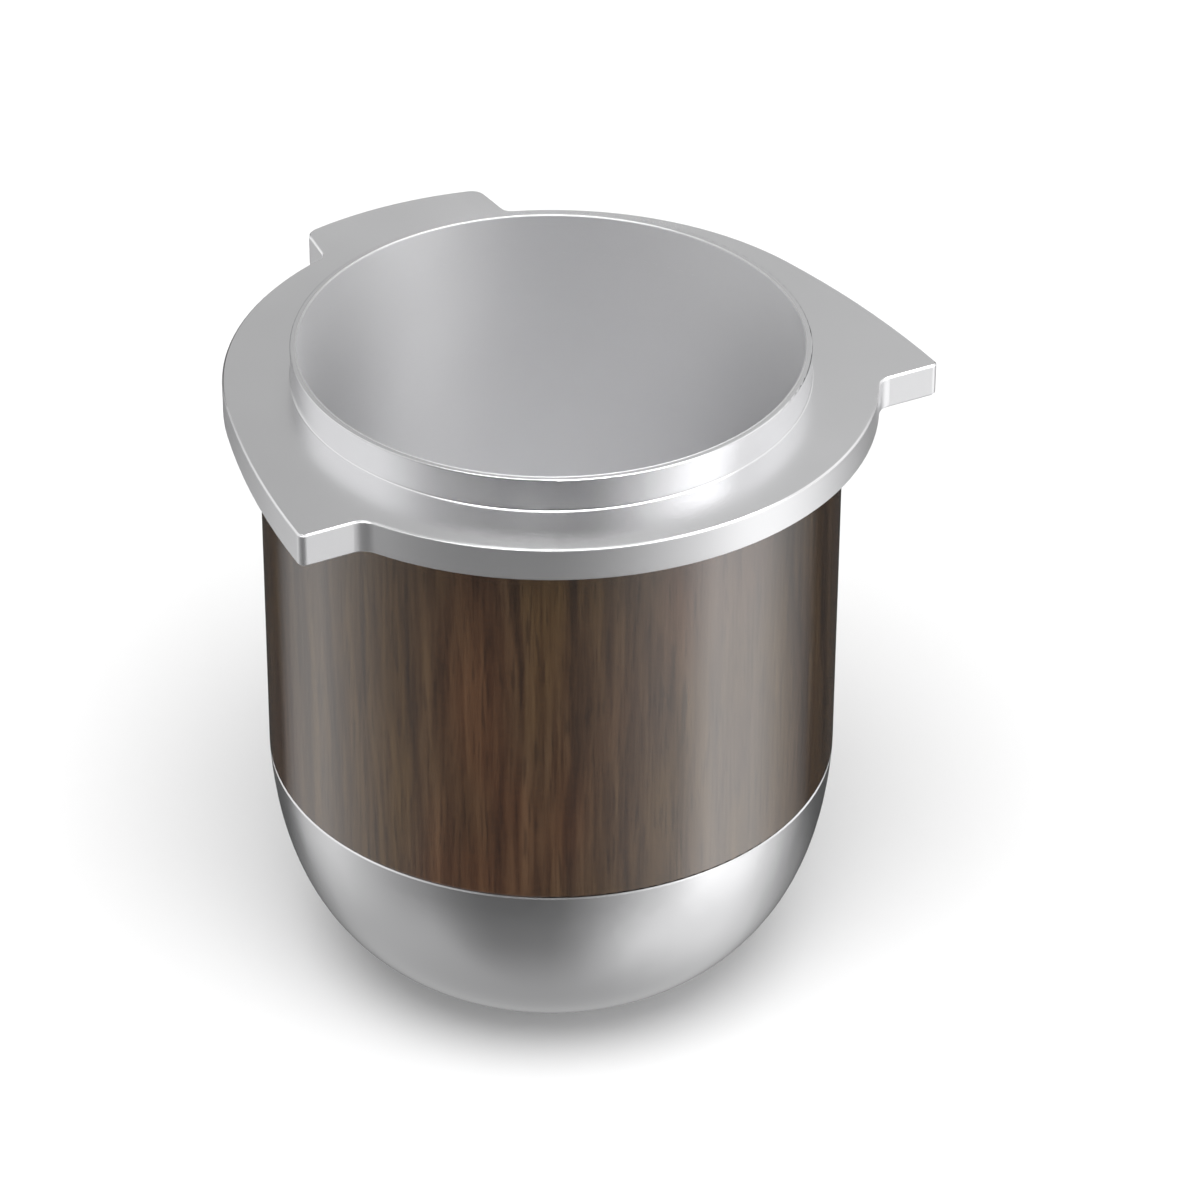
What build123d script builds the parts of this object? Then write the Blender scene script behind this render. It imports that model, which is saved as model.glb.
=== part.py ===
from build123d import *
import math
import os

# Dosing cup for a 58 mm espresso portafilter. Millimetres.
# The foot stands on z = 0, +Z runs up the cup's axis and out of its mouth.

# Driving dimensions
TOTAL_HEIGHT = 81.0          # foot to rim
BASKET_SIZE = 58.0           # outside diameter of the collar, which enters a 58 mm basket
COLLAR_WALL = 0.8
COLLAR_HEIGHT = 3.9          # collar above the flange
FLANGE_THICKNESS = 4.0
FLANGE_RADIUS = 36.6
SLEEVE_RADIUS = 32.7
SLEEVE_BOTTOM = 28.3
CUP_WALL = 1.2

# Levels that follow from them
COLLAR_RADIUS = BASKET_SIZE / 2
BORE_RADIUS = COLLAR_RADIUS - COLLAR_WALL
FLANGE_TOP = TOTAL_HEIGHT - COLLAR_HEIGHT
FLANGE_BOTTOM = FLANGE_TOP - FLANGE_THICKNESS
CUP_RADIUS = BORE_RADIUS + CUP_WALL

# Lugs, with angles from +X. The flange is mirror-symmetric about this line.
LUG_AXIS = 117.0
HOOK_ANGLE = 115.0           # each hook's tip, either side of the line
HOOK_TIP_RADIUS = 43.3
HOOK_RAMP = 40.0             # angle over which a hook's back runs down to the flange
HOOK_ROOT_FILLET = 2.2
HOOK_TIP_ROUND = 0.8
TAB_RADIUS = 42.2            # the tab opposite the hooks
TAB_HALF_WIDTH = 11.2
TAB_FLARE = 5.0              # each side leans out this much towards the root
TAB_ROUND = 1.8
TAB_ROOT_FILLET = 1.2

# Edges of the collar piece
COLLAR_ROOT_FILLET = 0.2
FLANGE_TOP_CHAMFER = 0.2
FLANGE_BOTTOM_CHAMFER = 0.25
REBATE_DEPTH = 0.5           # the sleeve's top end is let into the flange's underside by this much
RIM_ROUND = 0.12

# Screwed joint between the collar piece and the cup
THREAD_CLEARANCE = 0.03
SHOULDER_BELOW_TOP = 1.0     # the cup's end stops this far below the flange's top
SKIRT_LENGTH = 4.0

# Sleeve and the two gaskets that grip it
SLEEVE_CLEARANCE = 0.1
SPIGOT_RADIUS = 31.0
SPIGOT_HEIGHT = 3.0
GASKET_THICKNESS = 0.8
END_GAP = 0.08               # hairline at each end of the sleeve
SLEEVE_EDGE = 0.25

# Rounded base: a quarter of a rounded square in section, cut off flat at the foot
DOME_RADIUS = 32.8           # flush with the sleeve where the two meet
DOME_CENTRE = 32.3
DOME_DEPTH = 34.1
DOME_FULLNESS = 0.69         # 0.55 is a true ellipse, 1 is a square corner
BASE_BOTTOM = 0.4
BASE_EDGE = 0.15

# Bowl at the bottom of the cup
BOWL_START = 40.0
BOWL_FLOOR = 13.4
BOWL_FULLNESS = 0.69
BOWL_CLEARANCE = 0.15
BOSS_RADIUS = 6.0
BOSS_BOTTOM = 8.2

# Screw, washer and foot
SCREW_RADIUS = 2.0
SCREW_HEAD_RADIUS = 3.8
SCREW_HEAD_HEIGHT = 2.2
SCREW_TIP = 11.6
SCREW_HOLE_END = 12.0
SCREW_CLEARANCE_RADIUS = 2.25
HEX_ACROSS_FLATS = 2.5
HEX_DEPTH = 1.4
WASHER_RADIUS = 3.7
WASHER_THICKNESS = 0.8
WASHER_SPLIT = 0.6
WEB_BOTTOM = 5.9             # underside of the base's floor round the screw
COUNTERBORE_RADIUS = 4.6
PAD_RADIUS = 13.5
PAD_THICKNESS = 2.4
PAD_EDGE = 0.4
PAD_GROOVES = (5.0, 8.0, 11.0)
PAD_GROOVE_WIDTH = 0.8
PAD_GROOVE_DEPTH = 0.5
FIT_GAP = 0.1


def polar(radius, degrees):
    angle = math.radians(degrees)
    return Vector(radius * math.cos(angle), radius * math.sin(angle))


def tube(outer, inner, bottom, top):
    ring = Circle(outer) - Circle(inner)
    return Pos(0, 0, bottom) * extrude(ring, top - bottom)


def rod(radius, bottom, top):
    return Pos(0, 0, bottom) * extrude(Circle(radius), top - bottom)


def bowl_solid(radius, start, depth, fullness):
    """A solid of revolution: flat on top at start, rounded below it."""
    end = start - depth
    side = Bezier(
        (radius, 0, start),
        (radius, 0, start - fullness * depth),
        (fullness * radius, 0, end),
        (0, 0, end),
    )
    axis = Line((0, 0, end), (0, 0, start))
    lid = Line((0, 0, start), (radius, 0, start))
    section = make_face([side, axis, lid])
    return revolve(section, Axis.Z, 360)


def hook_outline():
    """A hook lug to the right of the lug line: convex back, square stop face."""
    tip_angle = LUG_AXIS - HOOK_ANGLE
    tangent_angle = tip_angle + HOOK_RAMP
    reach = math.cos(math.radians(HOOK_RAMP))
    tip_square = HOOK_TIP_RADIUS**2 - 2 * HOOK_TIP_RADIUS * FLANGE_RADIUS * reach + FLANGE_RADIUS**2
    ramp_radius = tip_square / (2 * (FLANGE_RADIUS - HOOK_TIP_RADIUS * reach))
    centre = polar(FLANGE_RADIUS - ramp_radius, tangent_angle)
    tip = polar(HOOK_TIP_RADIUS, tip_angle)
    tangent = polar(FLANGE_RADIUS, tangent_angle)
    middle_direction = ((tip + tangent) * 0.5 - centre).normalized()
    middle = centre + middle_direction * ramp_radius
    inward = polar(1, LUG_AXIS + 90)
    root = tip + inward * (HOOK_TIP_RADIUS / 2)
    back = ThreePointArc(tangent, middle, tip)
    stop = Line(tip, root)
    close = Line(root, tangent)
    return make_face([back, stop, close])


def tab_outline():
    """The tab opposite the hooks, with an arc for its outer edge."""
    half_angle = math.degrees(math.asin(TAB_HALF_WIDTH / TAB_RADIUS))
    right = polar(TAB_RADIUS, -half_angle)
    left = polar(TAB_RADIUS, half_angle)
    root_x = BASKET_SIZE / 2
    spread = (right.X - root_x) * math.tan(math.radians(TAB_FLARE))
    right_root = Vector(root_x, right.Y - spread)
    left_root = Vector(root_x, left.Y + spread)
    outer = ThreePointArc(right, (TAB_RADIUS, 0), left)
    tab = make_face([outer, Line(left, left_root), Line(left_root, right_root), Line(right_root, right)])
    corners = tab.vertices().filter_by(lambda v: v.X > root_x + 1)
    return Rot(0, 0, LUG_AXIS) * fillet(corners, TAB_ROUND)


def flange_outline():
    hook = hook_outline()
    mirror_plane = Plane.XZ.rotated((0, 0, LUG_AXIS))
    other_hook = mirror(hook, mirror_plane)
    outline = Circle(FLANGE_RADIUS) + hook + other_hook + tab_outline()
    return round_outline(outline)


def round_outline(outline):
    """Round the hooks' tips, their roots and the tab's roots."""
    tips = outline.vertices().filter_by(lambda v: abs(v.center().length - HOOK_TIP_RADIUS) < 0.01)
    outline = fillet(tips, HOOK_TIP_ROUND)
    roots = outline.vertices().filter_by(lambda v: abs(v.center().length - FLANGE_RADIUS) < 0.01)
    tab_line = polar(1, LUG_AXIS)
    tab_roots = [v for v in roots if v.center().normalized().dot(tab_line) > math.cos(math.radians(30))]
    outline = fillet(tab_roots, TAB_ROOT_FILLET)
    stops = outline.vertices().filter_by(is_hook_root)
    return fillet(stops, HOOK_ROOT_FILLET)


def is_hook_root(vertex):
    """True at the corner where a hook's stop face meets the flange's circle."""
    point = vertex.center()
    along = point.dot(polar(1, LUG_AXIS + 180))
    stop_level = HOOK_TIP_RADIUS * math.cos(math.radians(180 - HOOK_ANGLE))
    return abs(along - stop_level) < 0.01 and abs(point.length - FLANGE_RADIUS) < 0.01


def lug_collar():
    """Flange with three lugs, the collar above it and the threaded skirt below."""
    flange = Pos(0, 0, FLANGE_BOTTOM) * extrude(flange_outline(), FLANGE_THICKNESS)
    flange = chamfer(flange.faces().sort_by(Axis.Z)[-1].outer_wire().edges(), FLANGE_TOP_CHAMFER)
    flange = chamfer(flange.faces().sort_by(Axis.Z)[0].outer_wire().edges(), FLANGE_BOTTOM_CHAMFER)
    body = flange + rod(COLLAR_RADIUS, FLANGE_TOP, TOTAL_HEIGHT)
    root = body.edges().filter_by(GeomType.CIRCLE).filter_by(
        lambda e: abs(e.radius - COLLAR_RADIUS) < 0.01 and abs(e.center().Z - FLANGE_TOP) < 0.01
    )
    body = fillet(root, COLLAR_ROOT_FILLET)
    body += rod(SPIGOT_RADIUS, FLANGE_BOTTOM - SKIRT_LENGTH, FLANGE_BOTTOM)
    rebate_radius = SLEEVE_RADIUS + SLEEVE_CLEARANCE
    body -= tube(rebate_radius, SPIGOT_RADIUS, FLANGE_BOTTOM, FLANGE_BOTTOM + REBATE_DEPTH)
    body -= rod(BORE_RADIUS, 0, TOTAL_HEIGHT)
    shoulder = FLANGE_TOP - SHOULDER_BELOW_TOP
    body -= rod(CUP_RADIUS + THREAD_CLEARANCE, 0, shoulder)
    rim = body.edges().filter_by(GeomType.CIRCLE).filter_by(
        lambda e: abs(e.center().Z - TOTAL_HEIGHT) < 0.01
    )
    return fillet(rim, RIM_ROUND)


def inner_cup():
    """Thin cup that holds the coffee, with a tapped boss under its bowl."""
    top = FLANGE_TOP - SHOULDER_BELOW_TOP
    outside_floor = BOWL_FLOOR - CUP_WALL
    outside = bowl_solid(CUP_RADIUS, BOWL_START, BOWL_START - outside_floor, BOWL_FULLNESS)
    inside = bowl_solid(BORE_RADIUS, BOWL_START, BOWL_START - BOWL_FLOOR, BOWL_FULLNESS)
    cup = outside + rod(CUP_RADIUS, BOWL_START, top) + rod(BOSS_RADIUS, BOSS_BOTTOM, BOWL_FLOOR)
    cup -= inside
    cup -= rod(BORE_RADIUS, BOWL_START, top)
    cup -= rod(SCREW_RADIUS, BOSS_BOTTOM, SCREW_HOLE_END)
    return cup


def walnut_sleeve():
    """Turned wooden tube, counterbored at both ends for the spigots and gaskets."""
    bottom = SLEEVE_BOTTOM + END_GAP
    top = FLANGE_BOTTOM + REBATE_DEPTH - END_GAP
    sleeve = tube(SLEEVE_RADIUS, CUP_RADIUS + SLEEVE_CLEARANCE, bottom, top)
    counterbore = SPIGOT_RADIUS + SLEEVE_CLEARANCE
    lower_end = SLEEVE_BOTTOM + SPIGOT_HEIGHT + GASKET_THICKNESS
    upper_end = FLANGE_BOTTOM - SKIRT_LENGTH - GASKET_THICKNESS
    sleeve -= rod(counterbore, bottom, lower_end)
    sleeve -= rod(counterbore, upper_end, top)
    rims = sleeve.edges().filter_by(GeomType.CIRCLE).filter_by(
        lambda e: abs(e.radius - SLEEVE_RADIUS) < 0.01
    )
    return fillet(rims, SLEEVE_EDGE)


def gasket(bottom):
    """Flat silicone ring that takes up the wood's movement."""
    inner = CUP_RADIUS + SLEEVE_CLEARANCE
    return tube(SPIGOT_RADIUS, inner, bottom, bottom + GASKET_THICKNESS)


def base_shell():
    """Rounded metal base with a spigot for the sleeve and a seat for the cup."""
    dome = bowl_solid(DOME_RADIUS, DOME_CENTRE, DOME_DEPTH, DOME_FULLNESS)
    base = dome & rod(2 * DOME_RADIUS, BASE_BOTTOM, SLEEVE_BOTTOM)
    base = chamfer(base.edges().sort_by(Axis.Z)[-1], BASE_EDGE)
    base += rod(SPIGOT_RADIUS, SLEEVE_BOTTOM, SLEEVE_BOTTOM + SPIGOT_HEIGHT)
    outside_floor = BOWL_FLOOR - CUP_WALL - BOWL_CLEARANCE
    seat_radius = CUP_RADIUS + BOWL_CLEARANCE
    base -= bowl_solid(seat_radius, BOWL_START, BOWL_START - outside_floor, BOWL_FULLNESS)
    base -= rod(BOSS_RADIUS + FIT_GAP, BOSS_BOTTOM, BOWL_START)
    base -= rod(SCREW_CLEARANCE_RADIUS, 0, BOSS_BOTTOM)
    base -= rod(COUNTERBORE_RADIUS, 0, WEB_BOTTOM)
    base -= rod(PAD_RADIUS + FIT_GAP, 0, PAD_THICKNESS)
    return base


def base_screw():
    """Button-head socket screw that draws the base up to the cup."""
    head_top = WEB_BOTTOM - WASHER_THICKNESS
    head_bottom = head_top - SCREW_HEAD_HEIGHT
    head = rod(SCREW_HEAD_RADIUS, head_bottom, head_top)
    head = fillet(head.edges().sort_by(Axis.Z)[0], SCREW_HEAD_HEIGHT * 0.7)
    socket = extrude(RegularPolygon(HEX_ACROSS_FLATS / 2, 6, major_radius=False), HEX_DEPTH)
    shank = rod(SCREW_RADIUS - THREAD_CLEARANCE, head_top, SCREW_TIP)
    shank = chamfer(shank.edges().sort_by(Axis.Z)[-1], SCREW_RADIUS / 4)
    return head + shank - Pos(0, 0, head_bottom) * socket


def lock_washer():
    """Split spring washer under the screw's head."""
    inner = SCREW_RADIUS + FIT_GAP
    washer = tube(WASHER_RADIUS, inner, WEB_BOTTOM - WASHER_THICKNESS, WEB_BOTTOM)
    split = Pos(WASHER_RADIUS, 0, WEB_BOTTOM) * Box(2 * WASHER_RADIUS, WASHER_SPLIT, 4 * WASHER_THICKNESS)
    return washer - split


def foot_pad():
    """Silicone disc that the cup stands on, with ring grooves for grip."""
    pad = rod(PAD_RADIUS, 0, PAD_THICKNESS)
    pad = chamfer(pad.edges().sort_by(Axis.Z)[0], PAD_EDGE)
    for radius in PAD_GROOVES:
        outer = radius + PAD_GROOVE_WIDTH / 2
        inner = radius - PAD_GROOVE_WIDTH / 2
        pad -= tube(outer, inner, 0, PAD_GROOVE_DEPTH)
    return pad


os.makedirs("parts", exist_ok=True)
parts = {
    "lug_collar": lug_collar(),
    "inner_cup": inner_cup(),
    "walnut_sleeve": walnut_sleeve(),
    "base_shell": base_shell(),
    "upper_gasket": gasket(FLANGE_BOTTOM - SKIRT_LENGTH - GASKET_THICKNESS),
    "lower_gasket": gasket(SLEEVE_BOTTOM + SPIGOT_HEIGHT),
    "base_screw": base_screw(),
    "lock_washer": lock_washer(),
    "foot_pad": foot_pad(),
}
for name, shape in parts.items():
    export_step(shape, f"parts/{name}.step")
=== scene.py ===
import math

import bpy
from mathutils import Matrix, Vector

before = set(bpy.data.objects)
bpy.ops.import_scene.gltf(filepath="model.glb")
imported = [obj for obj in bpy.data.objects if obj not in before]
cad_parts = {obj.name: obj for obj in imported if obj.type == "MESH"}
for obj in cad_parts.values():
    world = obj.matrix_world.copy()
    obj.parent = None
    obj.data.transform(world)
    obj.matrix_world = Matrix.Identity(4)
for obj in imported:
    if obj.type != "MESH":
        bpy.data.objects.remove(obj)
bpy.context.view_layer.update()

MM = 0.001

# Camera, looking along +Y and down
CAMERA_ELEVATION = 33.53
CAMERA_DISTANCE = 615 * MM
CAMERA_TARGET = Vector((0, 0, 46.5 * MM))
CAMERA_LENS = 161.25
CAMERA_SHIFT = 0.0407

# Finish of the metal pieces
SATIN = (0.83, 0.83, 0.84, 1)
STEEL = (0.6, 0.6, 0.61, 1)
TOP_ROUGH = 0.2
BASE_ROUGH = 0.22
STEEL_ROUGH = 0.25
BORE_EDGE = 28.4 * MM        # inside this radius the metal is the bore's wall
BORE_ROUGH = 0.6
FLANGE_WALL_TOP = 76.9 * MM  # below this height the metal is the flange's side wall
FLANGE_WALL_ROUGH = 0.48
FINISH_BLEND = 0.1 * MM
TURNED = 0.85                # how strongly the turning marks stretch a reflection
ACROSS_MARKS = 0.25          # a quarter turn, so it stretches across them

# Walnut: where the middle of the tree was, and how its rings and grain run
TREE_CENTRE = (-55 * MM, 75 * MM)
RING_SWAY = 10 * MM
RINGS_PER_METRE = 520.0
DARK_PORE = (0.016, 0.008, 0.004, 1)
WOOD_TONES = [(0.36, (0.023, 0.011, 0.005)), (0.46, (0.048, 0.024, 0.011)),
              (0.54, (0.073, 0.040, 0.019)), (0.66, (0.105, 0.062, 0.032))]
REDDISH = (0.62, 0.36, 0.28, 1)
OLIVE = (0.50, 0.50, 0.28, 1)

FLOOR_SIZE = 6
FLOOR_PALE = (0.90, 0.90, 0.90, 1)

# The room's brightness at three levels, as (degrees round from the front, brightness)
DEEP_BAND = [(-180, 0.45), (-60, 0.45), (-45, 0.26), (-30, 0.18), (5, 0.18), (20, 0.35), (35, 0.60),
             (50, 0.85), (100, 0.85), (140, 0.60), (180, 0.45)]
LEVEL_BAND = [(-180, 0.05), (-142, 0.08), (-126, 0.60), (-105, 0.86), (-86, 0.55), (-66, 0.24), (-45, 0.10),
              (-32, 0.07), (4, 0.08), (18, 0.17), (32, 0.34), (52, 0.66), (68, 1.55), (90, 1.35), (108, 0.66),
              (132, 0.08), (180, 0.05)]
HIGH_BAND = [(-180, 0.54), (-165, 0.38), (-150, 0.45), (-128, 1.0), (-80, 1.05), (-55, 0.53), (-22, 0.16),
             (5, 0.07), (18, 0.15), (45, 0.66), (75, 0.90), (115, 1.15), (140, 1.0), (160, 0.74), (180, 0.54)]
# Each level as (height where it starts, height where it is full, brightness), over the brightness underfoot
LEVELS = [(-1.0, -0.85, DEEP_BAND), (-0.80, -0.62, LEVEL_BAND), (-0.1, 0.3, HIGH_BAND)]
NADIR = 0.36
# Lamps, as (direction, brightness, degrees out to the edge, degrees of full brightness)
LAMPS = [((0, -0.08, 1), 6.0, 28, 13), ((0.55, -0.09, 0.83), 3.5, 20, 8)]
# Soft light on the floor and the wood, kept out of the reflections, as (direction, strength, degrees across)
SOFT_LIGHTS = [((0, -0.32, 1), 2.5, 50), ((0, -1, 0.9), 1.5, 80), ((-0.9, -0.3, 0.8), 0.3, 70),
               ((0.9, -0.3, 0.8), 0.35, 70)]


class Tree:
    """Short calls for building a node tree."""

    def __init__(self, tree):
        self.tree = tree
        tree.nodes.clear()

    def node(self, kind, inputs=None, **settings):
        """A shader node. Each input takes a value or another node's socket."""
        made = self.tree.nodes.new("ShaderNode" + kind)
        for name, value in settings.items():
            setattr(made, name, value)
        for name, value in (inputs or {}).items():
            self.feed(made.inputs[name], value)
        return made

    def feed(self, socket, value):
        if isinstance(value, bpy.types.NodeSocket):
            self.tree.links.new(value, socket)
        else:
            socket.default_value = value

    def math(self, operation, *values):
        made = self.node("Math", operation=operation)
        for socket, value in zip(made.inputs, values):
            self.feed(socket, value)
        return made.outputs[0]

    def noise(self, vector, scale, detail=2.0, rough=0.5):
        made = self.node("TexNoise", {"Vector": vector, "Scale": scale, "Detail": detail, "Roughness": rough})
        return made.outputs["Fac"]

    def scaled(self, vector, scale):
        return self.node("VectorMath", {0: vector, 1: scale}, operation="MULTIPLY").outputs[0]

    def ramp(self, factor, stops):
        made = self.node("ValToRGB", {"Fac": factor})
        elements = made.color_ramp.elements
        while len(elements) < len(stops):
            elements.new(0.5)
        for element, (place, colour) in zip(elements, stops):
            element.position = place
            element.color = (*colour, 1) if isinstance(colour, tuple) else (colour, colour, colour, 1)
        return made.outputs["Color"]

    def span(self, value, low, high, to_low, to_high):
        """The value moved from one range to another, and held at its ends."""
        ends = {"From Min": low, "From Max": high, "To Min": to_low, "To Max": to_high}
        return self.node("MapRange", {"Value": value, **ends}).outputs["Result"]

    def mix(self, factor, first, second, blend="MIX"):
        made = self.node("Mix", data_type="RGBA", blend_type=blend)
        for socket, value in zip((made.inputs[0], made.inputs[6], made.inputs[7]), (factor, first, second)):
            self.feed(socket, value)
        return made.outputs[2]


def new_material(name):
    material = bpy.data.materials.new(name)
    material.use_nodes = True
    return material, Tree(material.node_tree)


def finish_material(t, colour, rough, height=None, strength=0.0, distance=0.1 * MM, **fixed):
    """Join colour, roughness and relief in one shader. The fixed values are set on its own sockets."""
    shader = t.node("BsdfPrincipled", {"Base Color": colour, "Roughness": rough})
    for name, value in fixed.items():
        t.feed(shader.inputs[name.replace("_", " ")], value)
    if height is not None:
        bump = t.node("Bump", {"Height": height, "Strength": strength, "Distance": distance})
        t.tree.links.new(bump.outputs[0], shader.inputs["Normal"])
    t.node("OutputMaterial", {"Surface": shader.outputs[0]})


def turned_coordinates(t):
    """The place, the place for marks that run round the axis, the radius and the marks' direction."""
    place = t.node("TexCoord").outputs["Object"]
    x, y, z = t.node("SeparateXYZ", {0: place}).outputs
    radius = t.math("SQRT", t.math("ADD", t.math("POWER", x, 2.0), t.math("POWER", y, 2.0)))
    angle = t.math("ARCTAN2", y, x)
    turned = t.node("CombineXYZ", {0: radius, 1: t.math("MULTIPLY", angle, 0.4 * MM), 2: z})
    around = t.node("CombineXYZ", {0: t.math("MULTIPLY", y, -1.0), 1: x})
    along = t.node("VectorMath", {0: around.outputs[0]}, operation="NORMALIZE")
    return place, turned.outputs[0], radius, along.outputs[0]


def collar_finish(t, place, radius, rough, bore_rough):
    """Roughness of the bore, of the flange's side wall and of everything else."""
    level = t.node("SeparateXYZ", {0: place}).outputs[2]
    outside = t.span(level, FLANGE_WALL_TOP, FLANGE_WALL_TOP + FINISH_BLEND, FLANGE_WALL_ROUGH, rough)
    bore = t.span(radius, BORE_EDGE - FINISH_BLEND, BORE_EDGE + FINISH_BLEND, 1.0, 0.0)
    not_bore = t.math("SUBTRACT", 1.0, bore)
    return t.math("ADD", t.math("MULTIPLY", bore, bore_rough), t.math("MULTIPLY", not_bore, outside))


def metal(name, tint, rough, marks, grain, aniso=0.0, bore_rough=None):
    """Satin metal with turning marks, a fine grain and slight smudges.

    With bore_rough, the bore has that roughness and the flange's side wall has its own.
    """
    material, t = new_material(name)
    place, turned, radius, along = turned_coordinates(t)
    lines = t.noise(turned, 9000.0, 3.0, 0.7)
    blast = t.noise(place, 16000.0, 2.0)
    smudge = t.noise(place, 60.0, 3.0)
    tone = t.span(smudge, 0.3, 0.7, 0.97, 1.0)
    shade = t.node("CombineColor", {0: tone, 1: tone, 2: tone}).outputs[0]
    colour = t.mix(1.0, tint, shade, "MULTIPLY")
    uneven = t.math("ADD", t.span(lines, 0.3, 0.7, -marks, marks), t.span(smudge, 0.3, 0.7, -0.02, 0.02))
    finish = rough if bore_rough is None else collar_finish(t, place, radius, rough, bore_rough)
    height = t.math("ADD", t.math("MULTIPLY", lines, marks * 10), t.math("MULTIPLY", blast, grain))
    finish_material(t, colour, t.math("ADD", uneven, finish), height, 0.15, 0.02 * MM, Metallic=1.0,
                    Anisotropic=aniso, Anisotropic_Rotation=ACROSS_MARKS, Tangent=along)
    return material


def growth_rings(t, place):
    """Rings round the middle of the tree, swaying a little along the grain."""
    x, y, _ = t.node("SeparateXYZ", {0: place}).outputs
    from_centre = t.math("ADD", t.math("POWER", t.math("SUBTRACT", x, TREE_CENTRE[0]), 2.0),
                         t.math("POWER", t.math("SUBTRACT", y, TREE_CENTRE[1]), 2.0))
    sway = t.noise(t.scaled(place, (1.0, 1.0, 0.25)), 45.0, 3.0)
    depth = t.math("ADD", t.math("SQRT", from_centre), t.math("MULTIPLY", sway, RING_SWAY))
    rings = {"W": t.math("MULTIPLY", depth, RINGS_PER_METRE), "Scale": 1.0, "Detail": 3.0, "Roughness": 0.6}
    return t.node("TexNoise", rings, noise_dimensions="1D").outputs["Fac"]


def walnut():
    """Lacquered walnut, straight vertical grain, with growth rings, fibres and pores."""
    material, t = new_material("walnut")
    place = t.node("TexCoord").outputs["Object"]
    rings = growth_rings(t, place)
    fibre = t.noise(t.scaled(place, (1.0, 1.0, 0.03)), 2600.0, 4.0, 0.65)
    streak = t.noise(t.scaled(place, (1.0, 1.0, 0.05)), 900.0, 3.0, 0.6)
    pores = t.noise(t.scaled(place, (1.0, 1.0, 0.06)), 3300.0, 1.0)
    patch = t.noise(t.scaled(place, (1.0, 1.0, 0.35)), 60.0, 2.0)
    fine = t.math("ADD", t.math("MULTIPLY", streak, 0.35), t.math("MULTIPLY", fibre, 0.25))
    tone = t.math("ADD", t.math("MULTIPLY", rings, 0.40), fine)
    wood = t.ramp(tone, WOOD_TONES)
    reddish = t.mix(t.span(patch, 0.38, 0.50, 0.35, 0.0), wood, REDDISH, "SOFT_LIGHT")
    olive = t.mix(t.span(patch, 0.50, 0.62, 0.0, 0.55), reddish, OLIVE, "SOFT_LIGHT")
    dark_pore = t.span(pores, 0.58, 0.68, 0.0, 0.5)
    colour = t.mix(dark_pore, olive, DARK_PORE)
    height = t.math("SUBTRACT", t.math("MULTIPLY", fibre, 0.5), dark_pore)
    finish_material(t, colour, t.span(fibre, 0.3, 0.7, 0.42, 0.55), height, 0.15, 0.08 * MM,
                    Specular_IOR_Level=0.0, Coat_Weight=1.0, Coat_Roughness=0.1, Coat_IOR=2.3)
    return material


def silicone():
    """Matt black silicone."""
    material, t = new_material("silicone")
    place = t.node("TexCoord").outputs["Object"]
    grain = t.noise(place, 6000.0, 2.0)
    shade = t.ramp(t.noise(place, 200.0, 2.0), [(0.3, 0.018), (0.7, 0.026)])
    finish_material(t, shade, t.span(grain, 0.3, 0.7, 0.6, 0.75), grain, 0.2, 0.02 * MM)
    return material


def give(node, material):
    """Give a CAD node its material."""
    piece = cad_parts[node]
    piece.data.materials.clear()
    piece.data.materials.append(material)


def make_floor():
    """A plain pale floor that the metal doesn't reflect."""
    bpy.ops.mesh.primitive_plane_add(size=FLOOR_SIZE, location=(0, 0, 0))
    floor = bpy.context.object
    floor.name = "floor"
    material, t = new_material("floor")
    finish_material(t, FLOOR_PALE, 0.9)
    floor.data.materials.append(material)
    floor.visible_glossy = False


def band(t, angle, stops):
    """Brightness round the room at one level, by the angle from the front."""
    return t.ramp(t.span(angle, -math.pi, math.pi, 0.0, 1.0),
                  [(0.5 + degrees / 360, light) for degrees, light in stops])


def lobe(t, way, direction, edge, core):
    """One where the way points along the direction, falling to nothing at the edge."""
    aim = Vector(direction).normalized()
    close = t.node("VectorMath", {0: way, 1: aim}, operation="DOT_PRODUCT").outputs["Value"]
    limits = math.cos(math.radians(edge)), math.cos(math.radians(core))
    made = t.node("MapRange", {"Value": close, "From Min": limits[0], "From Max": limits[1]},
                  interpolation_type="SMOOTHSTEP")
    return made.outputs["Result"]


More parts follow.
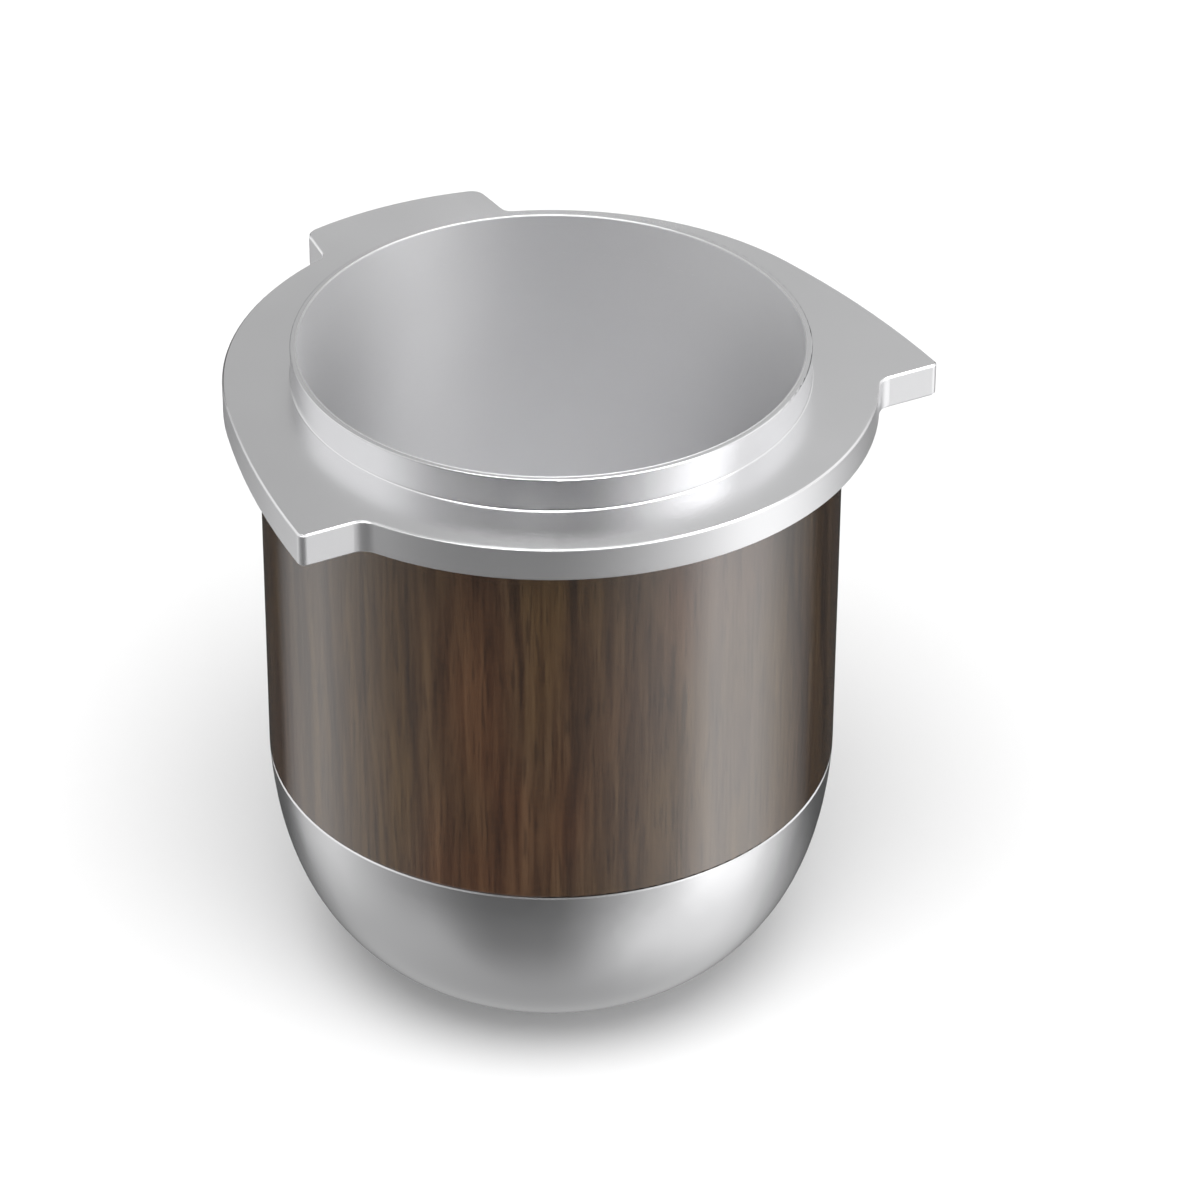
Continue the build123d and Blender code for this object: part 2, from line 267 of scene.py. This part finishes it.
def make_world():
    """The room that the metal and the lacquer reflect: pale sides, a dim front, and two lamps above.

    It is seen in reflections only. The soft lights do the rest.
    """
    world = bpy.data.worlds.new("studio")
    bpy.context.scene.world = world
    world.use_nodes = True
    world.cycles_visibility.diffuse = False
    t = Tree(world.node_tree)
    way = t.node("TexCoord").outputs["Generated"]
    split = t.node("SeparateXYZ", {0: way})
    angle = t.math("ARCTAN2", split.outputs[0], t.math("MULTIPLY", split.outputs[1], -1.0))
    light = (NADIR, NADIR, NADIR, 1)
    for start, full, stops in LEVELS:
        light = t.mix(t.span(split.outputs[2], start, full, 0.0, 1.0), light, band(t, angle, stops))
    for direction, brightness, edge, core in LAMPS:
        light = t.math("ADD", light, t.math("MULTIPLY", lobe(t, way, direction, edge, core), brightness))
    shade = t.node("Background", {"Color": (1, 1, 1, 1), "Strength": light})
    t.node("OutputWorld", {"Surface": shade.outputs[0]})


def make_soft_light(direction, strength, across):
    """A wide sun lamp that lights the floor and the wood without being reflected."""
    data = bpy.data.lights.new("soft_light", "SUN")
    data.energy = strength
    data.angle = math.radians(across)
    lamp = bpy.data.objects.new("soft_light", data)
    lamp.rotation_mode = "QUATERNION"
    lamp.rotation_quaternion = Vector(direction).to_track_quat("Z", "Y")
    lamp.visible_glossy = False
    bpy.context.scene.collection.objects.link(lamp)


def make_camera():
    """Look at the target from the front and above."""
    data = bpy.data.cameras.new("camera")
    data.lens = CAMERA_LENS
    data.sensor_width = 36
    data.shift_x = CAMERA_SHIFT
    camera = bpy.data.objects.new("camera", data)
    tilt = math.radians(CAMERA_ELEVATION)
    back = Vector((0, -math.cos(tilt), math.sin(tilt)))
    camera.location = CAMERA_TARGET + back * CAMERA_DISTANCE
    camera.rotation_mode = "QUATERNION"
    camera.rotation_quaternion = (-back).to_track_quat("-Z", "Y")
    data.clip_start, data.clip_end = 0.01, 20
    bpy.context.scene.collection.objects.link(camera)
    bpy.context.scene.camera = camera


make_camera()
make_world()
for direction, strength, across in SOFT_LIGHTS:
    make_soft_light(direction, strength, across)
make_floor()
bpy.context.scene.view_settings.view_transform = "Standard"

give("lug_collar", metal("collar_metal", SATIN, TOP_ROUGH, 0.01, 0.05, TURNED, BORE_ROUGH))
give("inner_cup", metal("cup_metal", SATIN, BORE_ROUGH, 0.01, 0.05, TURNED))
give("base_shell", metal("base_metal", SATIN, BASE_ROUGH, 0.01, 0.05))
give("walnut_sleeve", walnut())
rubber = silicone()
for node in ("upper_gasket", "lower_gasket", "foot_pad"):
    give(node, rubber)
steel = metal("screw_steel", STEEL, STEEL_ROUGH, 0.02, 0.1)
for node in ("base_screw", "lock_washer"):
    give(node, steel)
